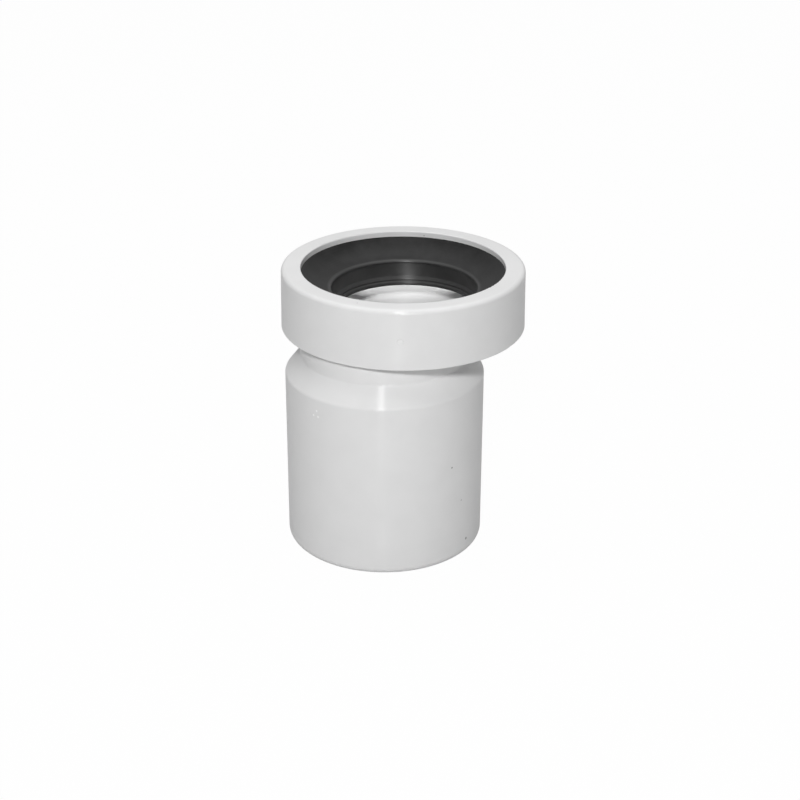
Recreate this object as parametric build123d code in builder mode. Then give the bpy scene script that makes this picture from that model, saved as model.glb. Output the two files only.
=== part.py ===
"""Eccentric toilet pan connector.

A moulded body joins a plain soil pipe spigot to a wider socket cup whose axis is set to one side.
A rubber lip seal lies on the cup's rim, and a retaining collar pressed over the cup clamps it.
The origin is the centre of the spigot's end, +Z runs up the spigot and +X towards the socket's offset.
"""
import os
from math import radians, tan

from build123d import *

# Driving dimensions of the body, in millimetres and degrees
spigot_diameter = 110.0
spigot_length = 100.0
wall = 4.2
end_land = 0.4
shoulder_angle = 38.5
shoulder_step = 8.4
crease_radius = 3.0
neck_fillet = 1.2
neck_height = 9.0
funnel_diameter = 50.0
funnel_inset = 1.0
cup_diameter = 130.2
cup_height = 29.6
cup_bevel = 2.6
straight_side_step = 0.5

# Driving dimensions of the seal
lip_diameter = 78.0
lip_land = 2.1
lip_rounding = 0.4
groove_height = 1.3
groove_depth = 0.5
bead_step = 0.7
bead_height = 1.3
sleeve_height = 8.6
ridge_step = 1.3
ridge_undercut = 1.0
ridge_rounding = 0.6
dish_depth = 8.8
dish_sag = 1.8
seal_wall = 2.2
flange_thickness = 2.8
flange_clearance = 0.4
locating_height = 3.5
locating_clearance = 0.3

# Driving dimensions of the retaining collar
collar_wall = 2.3
collar_draft = 0.5
collar_clearance = 0.2
collar_lip = 3.2
collar_lip_reach = 4.6
collar_rounding = 2.5
mouth_rounding = 0.7
skirt_rounding = 0.5
skirt_gap = 2.0
snap_height = 6.0
snap_radius = 1.0
snap_rise = 0.6

# Radii and heights of the body, with the cup's straight side set just outside the neck
slope = tan(radians(shoulder_angle))
spigot_radius = spigot_diameter / 2
neck_radius = spigot_radius - shoulder_step
cup_radius = cup_diameter / 2
socket_offset = cup_radius - neck_radius - straight_side_step
bore_radius = spigot_radius - wall
throat_radius = neck_radius - wall
cup_bore = cup_radius - wall
neck_z = spigot_length + shoulder_step / slope
bore_crease_z = spigot_length - wall * tan(radians(shoulder_angle / 2))
throat_z = bore_crease_z + shoulder_step / slope
cup_z = neck_z + neck_height
floor_z = cup_z + wall
rim_z = cup_z + cup_height
funnel_radius = funnel_diameter / 2
funnel_offset = spigot_radius - funnel_inset - funnel_radius
snap_z = cup_z + snap_height
snap_centre = cup_radius + snap_rise - snap_radius

# Radii and heights of the collar, which follow the cup
skirt_bore = cup_radius + collar_clearance
skirt_radius = skirt_bore + collar_wall
shoulder_radius = skirt_radius - collar_draft
mouth_radius = cup_bore - collar_lip_reach
seal_top = rim_z + flange_thickness
collar_top = seal_top + collar_lip
collar_bottom = cup_z + skirt_gap

# Radii and heights of the seal, from its flange in the cup down to its lip
flange_radius = skirt_bore - flange_clearance
locating_radius = cup_bore - locating_clearance
locating_z = rim_z - locating_height
lip_radius = lip_diameter / 2
bead_radius = lip_radius + bead_step
groove_radius = bead_radius + groove_depth
ridge_radius = lip_radius + ridge_step
sleeve_radius = ridge_radius + ridge_undercut
ridge_z = seal_top - dish_depth
sleeve_top = ridge_z - ridge_undercut
sleeve_z = sleeve_top - sleeve_height
bead_z = sleeve_z - bead_height
groove_z = bead_z - groove_height / 2
land_z = bead_z - groove_height
lip_z = land_z - lip_land

# The socket's own axis, and the plane that its turned sections lie in
socket_axis = Axis((socket_offset, 0, 0), (0, 0, 1))
socket_section = Plane(origin=(socket_offset, 0, 0), x_dir=(1, 0, 0), z_dir=(0, -1, 0))


def level_plane(offset, height):
    """Level plane with its origin set off along +X."""
    return Plane(origin=(offset, 0, height))


def corner(section, radius, height):
    """Corner of a turned section nearest to a radius and height."""
    return section.vertices().sort_by_distance((radius, height))[0]


# Body: spigot, shoulder and neck, funnel on the offset side, cup and snap bead, with the waterway cut through
with BuildPart() as body:
    with BuildSketch(Plane.XZ) as spigot:
        with BuildLine():
            Polyline(
                (0, 0),
                (spigot_radius, 0),
                (spigot_radius, spigot_length),
                (neck_radius, neck_z),
                (neck_radius, floor_z),
                (0, floor_z),
                close=True,
            )
        make_face()
        fillet(corner(spigot, spigot_radius, 0), wall - end_land)
        fillet(corner(spigot, spigot_radius, spigot_length), crease_radius)
        fillet(corner(spigot, neck_radius, neck_z), neck_fillet)
    revolve(axis=Axis.Z)

    with BuildSketch(level_plane(funnel_offset, bore_crease_z)):
        Circle(funnel_radius)
    with BuildSketch(level_plane(socket_offset, cup_z)):
        Circle(cup_radius - cup_bevel)
    with BuildSketch(level_plane(socket_offset, cup_z + cup_bevel)):
        Circle(cup_radius)
    loft(ruled=True)
    with BuildSketch(level_plane(socket_offset, cup_z + cup_bevel)):
        Circle(cup_radius)
    extrude(amount=cup_height - cup_bevel)

    with BuildSketch(socket_section):
        with Locations((snap_centre, snap_z)):
            Circle(snap_radius)
    revolve(axis=socket_axis)

    with BuildSketch(Plane.XZ):
        with BuildLine():
            Polyline(
                (0, 0),
                (bore_radius, 0),
                (bore_radius, bore_crease_z),
                (throat_radius, throat_z),
                (throat_radius, floor_z),
                (0, floor_z),
                close=True,
            )
        make_face()
    revolve(axis=Axis.Z, mode=Mode.SUBTRACT)
    with BuildSketch(level_plane(funnel_offset, bore_crease_z)):
        Circle(funnel_radius - wall)
    with BuildSketch(level_plane(socket_offset, floor_z)):
        Circle(cup_bore)
    loft(mode=Mode.SUBTRACT)
    with BuildSketch(level_plane(socket_offset, floor_z)):
        Circle(cup_bore)
    extrude(amount=cup_height - wall, mode=Mode.SUBTRACT)

# Seal: flange on the rim, dished entry down to a ridge, sleeve and lower lip, turned as one section
with BuildPart() as seal:
    with BuildSketch(socket_section) as seal_section:
        with BuildLine():
            dish = SagittaArc((mouth_radius, seal_top), (ridge_radius, ridge_z), dish_sag)
            inside = Polyline(
                dish @ 1,
                (sleeve_radius, sleeve_top),
                (sleeve_radius, sleeve_z),
                (bead_radius, bead_z),
                (groove_radius, groove_z),
                (lip_radius, land_z),
                (lip_radius, lip_z),
                (sleeve_radius + seal_wall, lip_z),
                (sleeve_radius + seal_wall, sleeve_top),
            )
            underside = SagittaArc(inside @ 1, (locating_radius - seal_wall, rim_z), -dish_sag)
            Polyline(
                underside @ 1,
                (locating_radius - seal_wall, locating_z),
                (locating_radius, locating_z),
                (locating_radius, rim_z),
                (flange_radius, rim_z),
                (flange_radius, seal_top),
                dish @ 0,
            )
        make_face()
        fillet(corner(seal_section, ridge_radius, ridge_z), ridge_rounding)
        fillet(corner(seal_section, bead_radius, bead_z), lip_rounding)
        fillet(corner(seal_section, lip_radius, land_z), lip_rounding)
        fillet(corner(seal_section, lip_radius, lip_z), lip_rounding)
    revolve(axis=socket_axis)

# Retaining collar: drafted skirt with a rounded top and an inward lip, grooved for the cup's snap bead
with BuildPart() as collar:
    with BuildSketch(socket_section) as collar_section:
        with BuildLine():
            Polyline(
                (skirt_bore, collar_bottom),
                (skirt_radius, collar_bottom),
                (shoulder_radius, collar_top),
                (mouth_radius, collar_top),
                (mouth_radius, seal_top),
                (skirt_bore, seal_top),
                close=True,
            )
        make_face()
        fillet(corner(collar_section, shoulder_radius, collar_top), collar_rounding)
        fillet(corner(collar_section, mouth_radius, collar_top), mouth_rounding)
        fillet(corner(collar_section, skirt_radius, collar_bottom), skirt_rounding)
        with Locations((snap_centre, snap_z)):
            Circle(snap_radius + collar_clearance, mode=Mode.SUBTRACT)
    revolve(axis=socket_axis)

os.makedirs("parts", exist_ok=True)
body.part.label = "body"
export_step(body.part, "parts/body.step")
seal.part.label = "seal"
export_step(seal.part, "parts/seal.step")
collar.part.label = "retaining_collar"
export_step(collar.part, "parts/retaining_collar.step")
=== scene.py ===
"""Looks of the eccentric toilet pan connector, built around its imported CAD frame.

The body and the retaining collar are the CAD nodes with a moulded plastic finish. The rubber seal is
modelled here ring by ring, because the real one is soft and its sleeve leans a little in the cup.
"""
from math import cos, pi, radians, sin

import bpy
from bpy.props import FloatProperty, FloatVectorProperty, IntProperty, PointerProperty
from mathutils import Matrix, Vector


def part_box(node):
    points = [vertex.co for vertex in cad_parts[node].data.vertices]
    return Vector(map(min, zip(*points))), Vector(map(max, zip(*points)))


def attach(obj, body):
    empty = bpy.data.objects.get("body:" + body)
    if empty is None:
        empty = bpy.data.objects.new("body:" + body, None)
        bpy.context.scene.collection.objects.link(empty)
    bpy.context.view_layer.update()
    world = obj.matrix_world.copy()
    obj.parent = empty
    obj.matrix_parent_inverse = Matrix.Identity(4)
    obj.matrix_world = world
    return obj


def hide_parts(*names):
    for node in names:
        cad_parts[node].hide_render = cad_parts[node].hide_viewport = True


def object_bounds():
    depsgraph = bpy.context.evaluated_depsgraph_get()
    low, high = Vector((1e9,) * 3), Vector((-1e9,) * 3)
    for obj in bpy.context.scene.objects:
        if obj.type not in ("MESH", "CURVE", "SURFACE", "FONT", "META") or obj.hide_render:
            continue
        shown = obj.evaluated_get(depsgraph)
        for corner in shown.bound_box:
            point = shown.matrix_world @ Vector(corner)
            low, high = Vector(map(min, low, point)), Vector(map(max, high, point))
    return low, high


bl_info = {
    "name": "Toilet pan connector",
    "version": (1, 0, 0),
    "blender": (4, 5, 0),
    "location": "3D View > Sidebar > Connector",
    "description": "Finishes a packed toilet pan connector and sets it on a plain stage",
    "category": "Object",
}

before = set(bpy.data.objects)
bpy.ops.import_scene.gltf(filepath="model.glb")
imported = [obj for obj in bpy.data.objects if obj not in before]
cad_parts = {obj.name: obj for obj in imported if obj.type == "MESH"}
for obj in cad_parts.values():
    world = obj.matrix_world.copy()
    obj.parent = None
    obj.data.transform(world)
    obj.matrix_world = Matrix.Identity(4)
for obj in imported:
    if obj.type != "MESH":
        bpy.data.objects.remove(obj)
cad_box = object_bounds()
MM = 0.001
COLLAR_LOW, COLLAR_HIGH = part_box("retaining_collar")
SEAL_LOW, SEAL_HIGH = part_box("seal")
SOCKET = Vector(((COLLAR_LOW.x + COLLAR_HIGH.x) / 2, 0, 0))

# sizes of the seal: insets are taken from the flange's edge, depths from its top
MOUTH_INSET = 8.6 * MM
RIDGE_INSET = 24.6 * MM
LOCATING_INSET = 4.3 * MM
FLANGE_THICKNESS = 2.8 * MM
LOCATING_HEIGHT = 3.5 * MM
DISH_DEPTH = 8.8 * MM
DISH_SAG = 1.8 * MM
UNDERCUT = 1.0 * MM
RUBBER_WALL = 2.2 * MM
STIFF_DEPTH = 5 * MM
RIDGE_Z = SEAL_HIGH.z - DISH_DEPTH

# azimuth of the side that faces away from the camera
FAR_SIDE = 125

# share of plain white in the floor that the camera sees
WHITE_SHARE = 0.98


def linear(hex_colour):
    """Linear RGB from an sRGB hex value."""
    parts = [int(hex_colour[i:i + 2], 16) / 255 for i in (0, 2, 4)]
    return tuple(p / 12.92 if p <= 0.04045 else ((p + 0.055) / 1.055) ** 2.4 for p in parts)


def add_node(tree, kind, settings=None, inputs=None):
    """Adds a node, sets its options, and sets or links its inputs."""
    node = tree.nodes.new(kind)
    for name, value in (settings or {}).items():
        setattr(node, name, value)
    for socket, value in (inputs or {}).items():
        if isinstance(value, bpy.types.NodeSocket):
            tree.links.new(value, node.inputs[socket])
        else:
            node.inputs[socket].default_value = value
    return node


class PlasticSettings(bpy.types.PropertyGroup):
    """Finish of the white moulded pieces."""

    colour: FloatVectorProperty(
        name="Plastic", description="Colour of the white polypropylene",
        subtype="COLOR", size=3, min=0, max=1, default=linear("E2E2E2"))
    speck_colour: FloatVectorProperty(
        name="Specks", description="Colour of the dust specks moulded into the skin",
        subtype="COLOR", size=3, min=0, max=1, default=linear("909090"))
    scuff_colour: FloatVectorProperty(
        name="Scuffs", description="Colour of the plastic where it was rubbed",
        subtype="COLOR", size=3, min=0, max=1, default=linear("F6F6F6"))
    roughness: FloatProperty(
        name="Roughness", description="Gloss of the moulded skin",
        subtype="FACTOR", min=0, max=1, default=0.31)
    turned: FloatProperty(
        name="Turned sheen", description="How far highlights stretch across the rings of the turned mould",
        subtype="FACTOR", min=0, max=1, default=1.0)
    grain: FloatProperty(
        name="Grain", description="Size of the fine unevenness left by the mould",
        unit="LENGTH", min=0.0001, default=1.2 * MM)
    flow: FloatProperty(
        name="Flow marks", description="Size of the cloudy marks where the melt flowed",
        unit="LENGTH", min=0.001, default=14 * MM)


class SealSettings(bpy.types.PropertyGroup):
    """Shape and finish of the rubber seal."""

    colour: FloatVectorProperty(
        name="Rubber", description="Colour of the black rubber",
        subtype="COLOR", size=3, min=0, max=1, default=linear("161616"))
    # besides the bloom patches, this colour is laid at half strength over the whole sleeve as painted
    # light, making it lighter than the lamps alone would
    bloom_and_painted_light_colour: FloatVectorProperty(
        name="Bloom", description="Grey film that rubber sweats out",
        subtype="COLOR", size=3, min=0, max=1, default=linear("343434"))
    bloom_size: FloatProperty(
        name="Bloom patches", description="Size of the patches of grey film",
        unit="LENGTH", min=0.001, default=9 * MM)
    roughness: FloatProperty(
        name="Roughness", description="Gloss of the rubber",
        subtype="FACTOR", min=0, max=1, default=0.5)
    turned: FloatProperty(
        name="Turned sheen", description="How far highlights stretch across the rings of the turned mould",
        subtype="FACTOR", min=0, max=1, default=0.9)
    ring_pitch: FloatProperty(
        name="Turning lines", description="Spacing of the lines that the turned mould leaves on the dish",
        unit="LENGTH", min=0.0001, default=1.4 * MM)
    lean: FloatProperty(
        name="Lean", description="How far the soft lower lip sits off its axis",
        unit="LENGTH", min=0, default=2.8 * MM)
    lean_direction: FloatProperty(
        name="Lean direction", description="Direction of the lean, anticlockwise from +X",
        subtype="ANGLE", default=radians(-93))
    rounding: FloatProperty(
        name="Rounding", description="Width of the rounding along the seal's corners",
        unit="LENGTH", min=0, default=0.35 * MM)
    segments: IntProperty(
        name="Segments", description="Corners of each ring of the seal's mesh", min=32, default=192)


class StageSettings(bpy.types.PropertyGroup):
    """Floor, light and camera."""

    floor_colour: FloatVectorProperty(
        name="Floor", description="Colour of the pale floor",
        subtype="COLOR", size=3, min=0, max=1, default=linear("D8D8D8"))
    floor_size: FloatProperty(
        name="Floor size", description="Side of the square floor", unit="LENGTH", min=1, default=8)
    ambient: FloatProperty(
        name="Ambient", description="Strength of the light from all round", min=0, default=0.11)
    mirrored_floor: FloatProperty(
        name="Mirrored floor", description="How white the floor is in reflections",
        subtype="FACTOR", min=0, max=1, default=0.4)
    mirrored_room: FloatProperty(
        name="Mirrored room", description="How white the room is in reflections",
        subtype="FACTOR", min=0, max=1, default=0.8)
    front_power: FloatProperty(
        name="Front lamp", description="Power of the lamp above the camera",
        unit="POWER", min=0, default=15.8)
    top_power: FloatProperty(
        name="Top lamp", description="Power of the wide lamp overhead",
        unit="POWER", min=0, default=19)
    left_power: FloatProperty(
        name="Left lamp", description="Power of the weak lamp at the left",
        unit="POWER", min=0, default=0.2)
    right_power: FloatProperty(
        name="Right lamp", description="Power of the weak lamp at the right",
        unit="POWER", min=0, default=0.1)
    inner_power: FloatProperty(
        name="Inner lamp", description="Power of the small lamp behind the seal",
        unit="POWER", min=0, default=0.007)
    camera_place: FloatVectorProperty(
        name="Camera", description="Place of the camera",
        subtype="TRANSLATION", unit="LENGTH", size=3, default=(-0.69871, -0.48413, 0.47580))
    camera_aim: FloatVectorProperty(
        name="Aim", description="Direction that the camera looks in",
        subtype="DIRECTION", size=3, default=(0.7505, 0.5089, -0.4217))
    camera_roll: FloatProperty(
        name="Roll", description="Turn of the camera about its own axis",
        subtype="ANGLE", default=radians(0.2))
    camera_lens: FloatProperty(
        name="Lens", description="Focal length on a 36 mm sensor", unit="CAMERA", min=1, default=75.42)


def nearness(tree, place, centre, inner, outer):
    """1 within inner of a point, falling to 0 at outer."""
    apart = add_node(tree, "ShaderNodeVectorMath", {"operation": "DISTANCE"}, {0: place, 1: centre})
    fade = add_node(tree, "ShaderNodeMapRange", {"interpolation_type": "SMOOTHSTEP"}, {
        "Value": apart.outputs["Value"],
        "From Min": inner, "From Max": outer, "To Min": 1.0, "To Max": 0.0})
    return fade.outputs["Result"]


def largest(tree, values):
    """The largest of several values."""
    kept = values[0]
    for value in values[1:]:
        kept = add_node(tree, "ShaderNodeMath", {"operation": "MAXIMUM"}, {0: kept, 1: value}).outputs[0]
    return kept


def spotted(tree, place, under, spots, colour):
    """A colour with small round spots of another one in it, each fading over its outer half."""
    near = largest(tree, [nearness(tree, place, p, r * 0.5, r) for p, r in spots])
    both = add_node(tree, "ShaderNodeMix", {"data_type": "RGBA"}, {
        "Factor": near, "A": under, "B": (*colour, 1)})
    return both.outputs["Result"]


def turn_sheen(tree, shader, place, axis):
    """Turns stretched highlights across the fine rings that a turned mould leaves around an axis."""
    centred = add_node(tree, "ShaderNodeVectorMath", {"operation": "SUBTRACT"}, {0: place, 1: axis})
    along = add_node(tree, "ShaderNodeVectorMath", {"operation": "CROSS_PRODUCT"}, {
        0: (0, 0, 1), 1: centred.outputs["Vector"]})
    tree.links.new(along.outputs["Vector"], shader.inputs["Tangent"])
    shader.inputs["Anisotropic Rotation"].default_value = 0.25


def moulded_polypropylene(name, look, axis, specks, scuffs=(), dents=()):
    """White polypropylene, injection moulded: opaque and milky, with a semi-gloss skin that follows the
    polish of the turned mould, faint cloudy flow marks, a trace of grain, and a few specks and marks."""
    material = bpy.data.materials.new(name)
    material.use_nodes = True
    tree = material.node_tree
    shader = tree.nodes["Principled BSDF"]
    place = add_node(tree, "ShaderNodeTexCoord").outputs["Object"]

    flow = add_node(tree, "ShaderNodeTexNoise", inputs={
        "Vector": place, "Scale": 1 / look.flow, "Detail": 3.0, "Roughness": 0.5})
    cloud = add_node(tree, "ShaderNodeMapRange", inputs={
        "Value": flow.outputs["Fac"], "From Min": 0.3, "From Max": 0.7, "To Min": 0.975, "To Max": 1.0})
    tint = add_node(tree, "ShaderNodeMix", {"data_type": "RGBA", "blend_type": "MULTIPLY"}, {
        "Factor": 1.0, "A": (*look.colour, 1), "B": cloud.outputs["Result"]})
    colour = spotted(tree, place, tint.outputs["Result"], specks, look.speck_colour)
    if scuffs:
        colour = spotted(tree, place, colour, scuffs, look.scuff_colour)
    tree.links.new(colour, shader.inputs["Base Color"])

    # the default range ends at about 0.28, because a glossier skin came out blotchy after denoising
    gloss = add_node(tree, "ShaderNodeMapRange", inputs={
        "Value": flow.outputs["Fac"], "From Min": 0.3, "From Max": 0.7,
        "To Min": look.roughness - 0.03, "To Max": look.roughness + 0.03})
    tree.links.new(gloss.outputs["Result"], shader.inputs["Roughness"])
    shader.inputs["IOR"].default_value = 1.49
    shader.inputs["Specular IOR Level"].default_value = 0.22
    shader.inputs["Anisotropic"].default_value = look.turned
    turn_sheen(tree, shader, place, axis)

    grain = add_node(tree, "ShaderNodeTexNoise", inputs={
        "Vector": place, "Scale": 1 / look.grain, "Detail": 2.0})
    skin = add_node(tree, "ShaderNodeBump", inputs={
        "Height": grain.outputs["Fac"], "Strength": 0.25, "Distance": 0.01 * MM})
    normal = skin.outputs["Normal"]
    if dents:
        hollow = largest(tree, [nearness(tree, place, p, r * 0.6, r) for p, r in dents])
        dent = add_node(tree, "ShaderNodeBump", {"invert": True}, {
            "Height": hollow, "Strength": 1.0, "Distance": 0.15 * MM, "Normal": normal})
        normal = dent.outputs["Normal"]
    tree.links.new(normal, shader.inputs["Normal"])
    return material


def moulded_rubber(look):
    """Black EPDM rubber, compression moulded: a dull black dish with fine rings from the turned mould, a
    greyish bloom in patches, and a sleeve below the ridge painted greyer as painted light, with an upright
    sheen."""
    material = bpy.data.materials.new("black_moulded_rubber")
    material.use_nodes = True
    tree = material.node_tree
    shader = tree.nodes["Principled BSDF"]
    place = add_node(tree, "ShaderNodeTexCoord").outputs["Object"]

    # 0 on the dish and 1 on the sleeve
    height = add_node(tree, "ShaderNodeSeparateXYZ", inputs={"Vector": place})
    sleeve = add_node(tree, "ShaderNodeMapRange", inputs={
        "Value": height.outputs["Z"],
        "From Min": RIDGE_Z + 0.4 * MM, "From Max": RIDGE_Z}).outputs["Result"]

    bloom = add_node(tree, "ShaderNodeTexNoise", inputs={
        "Vector": place, "Scale": 1 / look.bloom_size, "Detail": 4.0})
    film = add_node(tree, "ShaderNodeMapRange", inputs={
        "Value": bloom.outputs["Fac"], "From Min": 0.4, "From Max": 0.75, "To Max": 0.5})
    # bloom film in patches, plus half the bloom colour over the whole sleeve: that half is painted light,
    # lifting the sleeve
    bloom_and_painted_sleeve_light = add_node(tree, "ShaderNodeMath", {"operation": "MULTIPLY_ADD", "use_clamp": True}, {
        0: sleeve, 1: 0.5, 2: film.outputs["Result"]})
    colour = add_node(tree, "ShaderNodeMix", {"data_type": "RGBA"}, {
        "Factor": bloom_and_painted_sleeve_light.outputs[0], "A": (*look.colour, 1), "B": (*look.bloom_and_painted_light_colour, 1)})
    tree.links.new(colour.outputs["Result"], shader.inputs["Base Color"])

    gloss = add_node(tree, "ShaderNodeMapRange", inputs={
        "Value": bloom.outputs["Fac"], "From Min": 0.3, "From Max": 0.7,
        "To Min": look.roughness - 0.05, "To Max": look.roughness + 0.06})
    tree.links.new(gloss.outputs["Result"], shader.inputs["Roughness"])
    shader.inputs["IOR"].default_value = 1.52
    shine = add_node(tree, "ShaderNodeMapRange", inputs={"Value": sleeve, "To Min": 0.17, "To Max": 0.5})
    tree.links.new(shine.outputs["Result"], shader.inputs["Specular IOR Level"])
    stretch = add_node(tree, "ShaderNodeMapRange", inputs={
        "Value": sleeve, "To Min": look.turned / 3, "To Max": look.turned})
    tree.links.new(stretch.outputs["Result"], shader.inputs["Anisotropic"])
    turn_sheen(tree, shader, place, SOCKET)

    # a wave texture repeats every pi / 10 divided by its scale
    centred = add_node(tree, "ShaderNodeMapping", inputs={"Vector": place, "Location": -SOCKET})
    rings = add_node(tree, "ShaderNodeTexWave", {"wave_type": "RINGS", "rings_direction": "Z"}, {
        "Vector": centred.outputs["Vector"], "Scale": pi / 10 / look.ring_pitch,
        "Distortion": 0.6, "Detail": 2.0, "Detail Scale": 1.0})
    lines = add_node(tree, "ShaderNodeBump", inputs={
        "Height": rings.outputs["Fac"], "Strength": 0.3, "Distance": 0.05 * MM})
    tree.links.new(lines.outputs["Normal"], shader.inputs["Normal"])
    return material


def dress(name, material):
    """Gives a CAD node its finish."""
    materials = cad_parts[name].data.materials
    materials.clear()
    materials.append(material)


class PANCONNECTOR_OT_finish_body(bpy.types.Operator):
    """Finish the moulded body"""

    bl_idname = "pan_connector.finish_body"
    bl_label = "Finish body"

    def execute(self, context):
        # place and radius of each mark on the spigot
        specks = [
            ((-13.02 * MM, -53.44 * MM, 59.0 * MM), 0.65 * MM),
            ((-5.0 * MM, -54.77 * MM, 36.0 * MM), 0.45 * MM),
            ((0.4 * MM, -55.0 * MM, 9.4 * MM), 1.0 * MM),
        ]
        scuffs = [
            ((-54.63 * MM, 6.4 * MM, 93.2 * MM), 0.8 * MM),
            ((-54.74 * MM, 5.4 * MM, 90.0 * MM), 0.9 * MM),
            ((-54.31 * MM, 8.7 * MM, 90.1 * MM), 0.8 * MM),
        ]
        dress("body", moulded_polypropylene(
            "white_moulded_polypropylene", context.scene.pan_plastic, Vector(), specks, scuffs=scuffs))
        return {"FINISHED"}


class PANCONNECTOR_OT_finish_collar(bpy.types.Operator):
    """Finish the retaining collar"""

    bl_idname = "pan_connector.finish_collar"
    bl_label = "Finish collar"

    def execute(self, context):
        # place and radius of the specks on its top and in its mouth, and of the gate's mark on its skirt
        specks = [
            ((-42.1 * MM, -11.9 * MM, 155.16 * MM), 0.35 * MM),
            ((70.3 * MM, 20.9 * MM, 153.0 * MM), 0.4 * MM),
        ]
        gate = ((-38.6 * MM, -36.5 * MM, 138.0 * MM), 1.9 * MM)
        dress("retaining_collar", moulded_polypropylene(
            "white_moulded_polypropylene_collar", context.scene.pan_plastic, SOCKET, specks, dents=[gate]))
        return {"FINISHED"}


def arc(start, end, sag, steps):
    """Points between two points of a section, along an arc that hangs below the chord."""
    (r0, z0), (r1, z1) = start, end
    length = ((r1 - r0) ** 2 + (z1 - z0) ** 2) ** 0.5
    across = Vector((-(z1 - z0), r1 - r0)) / length
    across = across if across.y < 0 else -across
    for i in range(1, steps):
        t = i / steps
        hang = 4 * sag * t * (1 - t)
        yield r0 + (r1 - r0) * t + across.x * hang, z0 + (z1 - z0) * t + across.y * hang


class PANCONNECTOR_OT_mould_seal(bpy.types.Operator):
    """Model the rubber seal as rings drawn out one after another"""

    bl_idname = "pan_connector.mould_seal"
    bl_label = "Mould seal"

    def execute(self, context):
        look = context.scene.pan_seal
        flange, top, lip = (SEAL_HIGH.x - SEAL_LOW.x) / 2, SEAL_HIGH.z, SEAL_LOW.z
        rim, sleeve_top = top - FLANGE_THICKNESS, RIDGE_Z - UNDERCUT
        mouth, ridge = flange - MOUTH_INSET, flange - RIDGE_INSET
        inside = ridge + UNDERCUT
        outside = inside + RUBBER_WALL
        locating = flange - LOCATING_INSET
        ring_inside, ring_foot = locating - RUBBER_WALL, rim - LOCATING_HEIGHT
        dish_end = (ridge + 0.8 * MM, RIDGE_Z + 0.15 * MM)

        # radius and height of each ring: dish and rounded ridge, sleeve and bead, groove and lip, underside
        section = [
            (flange, top),
            (mouth, top),
            *arc((mouth, top), dish_end, DISH_SAG, 9),
            dish_end,
            (ridge + 0.25 * MM, RIDGE_Z - 0.3 * MM),
            (ridge, RIDGE_Z - 0.95 * MM),
            (ridge + 0.25 * MM, RIDGE_Z - 1.35 * MM),
            (inside, sleeve_top - 0.6 * MM),
            (inside, lip + 5 * MM),
            (inside - 1 * MM, lip + 4.2 * MM),
            (ridge - 0.55 * MM, lip + 3.3 * MM),
            (ridge - 0.1 * MM, lip + 2.75 * MM),
            (ridge - 1.3 * MM, lip + 2.1 * MM),
            (ridge - 1.3 * MM, lip + 0.9 * MM),
            (ridge - 1 * MM, lip + 0.25 * MM),
            (ridge - 0.4 * MM, lip),
            (outside, lip),
            (outside, sleeve_top),
            *arc((outside, sleeve_top), (ring_inside, rim), DISH_SAG, 7),
            (ring_inside, rim),
            (ring_inside, ring_foot),
            (locating, ring_foot),
            (locating, rim),
            (flange, rim),
        ]
        lean_way = Vector((cos(look.lean_direction), sin(look.lean_direction), 0))
        stiff_z = top - STIFF_DEPTH

        bpy.ops.object.select_all(action="DESELECT")
        bpy.ops.mesh.primitive_circle_add(
            vertices=look.segments, radius=flange, fill_type="NOTHING", location=(SOCKET.x, 0, rim))
        seal = context.object
        seal.name = "rubber_seal"
        bpy.ops.object.mode_set(mode="EDIT")
        bpy.ops.mesh.select_all(action="SELECT")
        radius, height, shift = flange, rim, Vector()
        for next_radius, next_height in section:
            # the sleeve's lean grows with depth, to its full size at the lip
            hang = max(0.0, (stiff_z - next_height) / (stiff_z - lip))
            next_shift = lean_way * look.lean * hang if next_radius <= outside else Vector()
            scale = next_radius / radius
            centre = (SOCKET.x + shift.x, shift.y, height)
            bpy.ops.mesh.extrude_region()
            bpy.ops.transform.resize(value=(scale, scale, 1), center_override=centre)
            bpy.ops.transform.translate(value=next_shift - shift + Vector((0, 0, next_height - height)))
            radius, height, shift = next_radius, next_height, next_shift
        bpy.ops.mesh.select_all(action="SELECT")
        bpy.ops.mesh.remove_doubles(threshold=0.01 * MM)
        bpy.ops.mesh.normals_make_consistent(inside=False)
        bpy.ops.object.mode_set(mode="OBJECT")
        bpy.ops.object.transform_apply(location=True, rotation=True, scale=True)

        bevel = seal.modifiers.new("moulded_corners", "BEVEL")
        bevel.width = look.rounding
        bevel.segments = 3
        bevel.limit_method = "ANGLE"
        bevel.angle_limit = radians(25)
        bpy.ops.object.modifier_apply(modifier=bevel.name)
        bpy.ops.object.shade_smooth_by_angle(angle=radians(40))
        seal.data.materials.append(moulded_rubber(look))
        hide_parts("seal")
        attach(seal, "root")
        return {"FINISHED"}


def seen_rays(tree, mirrored):
    """1 for rays from the camera, a share of it for reflected and refracted ones, 0 for the rest."""
    path = add_node(tree, "ShaderNodeLightPath")
    bent = largest(tree, [path.outputs["Is Glossy Ray"], path.outputs["Is Transmission Ray"]])
    part = add_node(tree, "ShaderNodeMath", {"operation": "MULTIPLY"}, {0: bent, 1: mirrored})
    return largest(tree, [path.outputs["Is Camera Ray"], part.outputs[0]])


def around(azimuth, elevation, distance):
    """Step out from a centre, with azimuth 0 on the -Y side as in the views."""
    a, e = radians(azimuth), radians(elevation)
    return Vector((sin(a) * cos(e), -cos(a) * cos(e), sin(e))) * distance


def hang_lamp(context, name, width, height, place, aim, power):
    """Area lamp at a place, turned to face a point."""
    turn = (aim - place).to_track_quat("-Z", "Y").to_euler()
    bpy.ops.object.light_add(type="AREA", location=place, rotation=turn)
    lamp = context.object
    lamp.name = name
    lamp.data.shape = "RECTANGLE"
    lamp.data.size = width
    lamp.data.size_y = height
    lamp.data.energy = power


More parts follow.
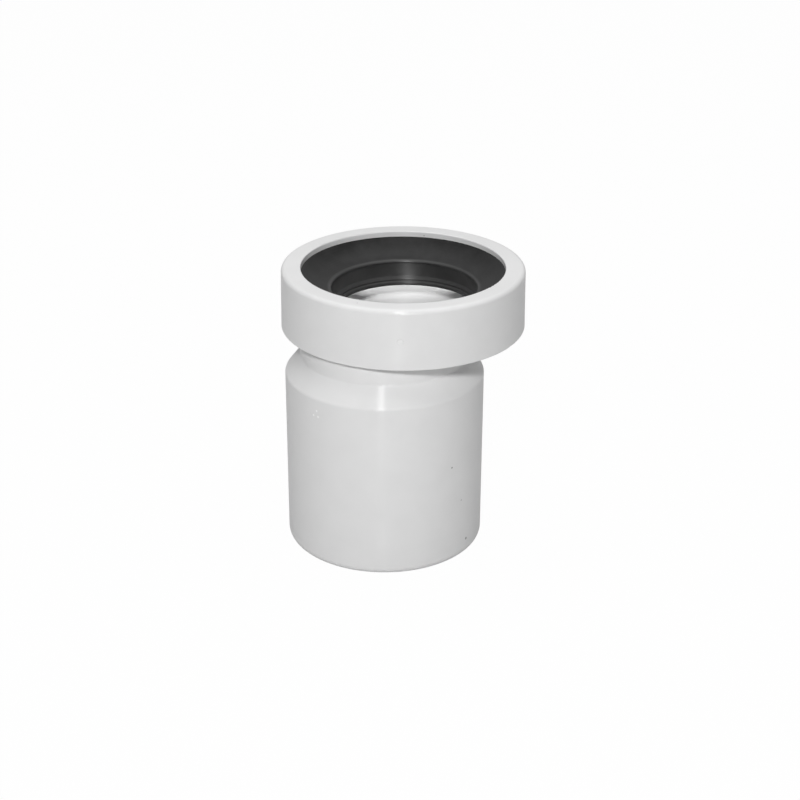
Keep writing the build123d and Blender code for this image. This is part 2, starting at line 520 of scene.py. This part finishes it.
class PANCONNECTOR_OT_set_stage(bpy.types.Operator):
    """Lay the floor, hang the lamps and place the camera"""

    bl_idname = "pan_connector.set_stage"
    bl_label = "Set stage"

    def execute(self, context):
        stage = context.scene.pan_stage
        context.scene.view_settings.view_transform = "Standard"
        bpy.ops.object.select_all(action="DESELECT")
        self.lay_floor(context, stage)
        self.light_room(context, stage)
        self.hang_lamps(context, stage)
        self.place_camera(context, stage)
        return {"FINISHED"}

    def lay_floor(self, context, stage):
        """Pale floor that is nearly white to the camera and keeps a trace of the shadow."""
        bpy.ops.mesh.primitive_plane_add(size=stage.floor_size, location=(0, 0, cad_box[0].z))
        floor = context.object
        floor.name = "floor"
        paint = bpy.data.materials.new("pale_floor")
        paint.use_nodes = True
        tree = paint.node_tree
        tree.nodes.clear()
        seen = seen_rays(tree, stage.mirrored_floor)
        share = add_node(tree, "ShaderNodeMath", {"operation": "MULTIPLY"}, {0: seen, 1: WHITE_SHARE})
        matt = add_node(tree, "ShaderNodeBsdfDiffuse", inputs={"Color": (*stage.floor_colour, 1)})
        white = add_node(tree, "ShaderNodeEmission", inputs={"Strength": 1.0})
        both = add_node(tree, "ShaderNodeMixShader", inputs={
            0: share.outputs[0], 1: matt.outputs[0], 2: white.outputs[0]})
        add_node(tree, "ShaderNodeOutputMaterial", inputs={"Surface": both.outputs[0]})
        floor.data.materials.append(paint)

    def light_room(self, context, stage):
        """Room that is white to the camera and gives a little light from all round."""
        world = bpy.data.worlds.new("plain_studio")
        world.use_nodes = True
        tree = world.node_tree
        tree.nodes.clear()
        seen = seen_rays(tree, stage.mirrored_room)
        level = add_node(tree, "ShaderNodeMapRange", inputs={
            "Value": seen, "To Min": stage.ambient, "To Max": 1.0})
        sky = add_node(tree, "ShaderNodeBackground", inputs={
            "Color": (1, 1, 1, 1), "Strength": level.outputs["Result"]})
        add_node(tree, "ShaderNodeOutputWorld", inputs={"Surface": sky.outputs[0]})
        context.scene.world = world

    def hang_lamps(self, context, stage):
        """Studio lamps around the part, and a small one inside it."""
        middle = (cad_box[0] + cad_box[1]) / 2
        studio = (
            ("front_lamp", 0.14, 0.2, around(-60, 36, 1.6), stage.front_power),
            ("top_lamp", 1.8, 1.6, around(FAR_SIDE, 77, 1.7), stage.top_power),
            ("left_lamp", 0.8, 0.8, around(-150, 8, 1.6), stage.left_power),
            ("right_lamp", 0.8, 0.8, around(40, 15, 1.6), stage.right_power),
        )
        for name, width, height, out, power in studio:
            hang_lamp(context, name, width, height, middle + out, middle, power)
        # hidden behind the far side of the seal's sleeve, it stands in for light bouncing in the white cup
        behind = Vector((SOCKET.x, 0, SEAL_LOW.z + 0.6 * MM)) + around(FAR_SIDE, 0, 46 * MM)
        cup_wall = behind + around(FAR_SIDE, 5, 12 * MM)
        hang_lamp(context, "inner_lamp", 76 * MM, 5 * MM, behind, cup_wall, stage.inner_power)

    def place_camera(self, context, stage):
        """Camera at the photograph's angle."""
        aim = Vector(stage.camera_aim).to_track_quat("-Z", "Y").to_matrix()
        turn = (aim @ Matrix.Rotation(stage.camera_roll, 3, "Z")).to_euler()
        bpy.ops.object.camera_add(location=stage.camera_place, rotation=turn)
        camera = context.object
        camera.data.sensor_width = 36
        camera.data.lens = stage.camera_lens
        camera.data.clip_start = 0.01
        context.scene.camera = camera


class PANCONNECTOR_PT_pieces(bpy.types.Panel):
    """Pieces and settings of the connector"""

    bl_label = "Toilet pan connector"
    bl_idname = "PANCONNECTOR_PT_pieces"
    bl_space_type = "VIEW_3D"
    bl_region_type = "UI"
    bl_category = "Connector"

    def draw(self, context):
        for operator in OPERATORS:
            self.layout.operator(operator.bl_idname)
        for group in GROUPS:
            settings = getattr(context.scene, group)
            column = self.layout.column()
            for name in settings.__annotations__:
                column.prop(settings, name)


GROUPS = {"pan_plastic": PlasticSettings, "pan_seal": SealSettings, "pan_stage": StageSettings}
OPERATORS = (
    PANCONNECTOR_OT_finish_body,
    PANCONNECTOR_OT_finish_collar,
    PANCONNECTOR_OT_mould_seal,
    PANCONNECTOR_OT_set_stage,
)
CLASSES = (*GROUPS.values(), *OPERATORS, PANCONNECTOR_PT_pieces)


def register():
    for kind in CLASSES:
        bpy.utils.register_class(kind)
    for name, kind in GROUPS.items():
        setattr(bpy.types.Scene, name, PointerProperty(type=kind))


def unregister():
    for name in GROUPS:
        delattr(bpy.types.Scene, name)
    for kind in reversed(CLASSES):
        bpy.utils.unregister_class(kind)


def main():
    register()
    bpy.ops.pan_connector.finish_body()
    bpy.ops.pan_connector.finish_collar()
    bpy.ops.pan_connector.mould_seal()
    bpy.ops.pan_connector.set_stage()


if __name__ == "__main__":
    main()
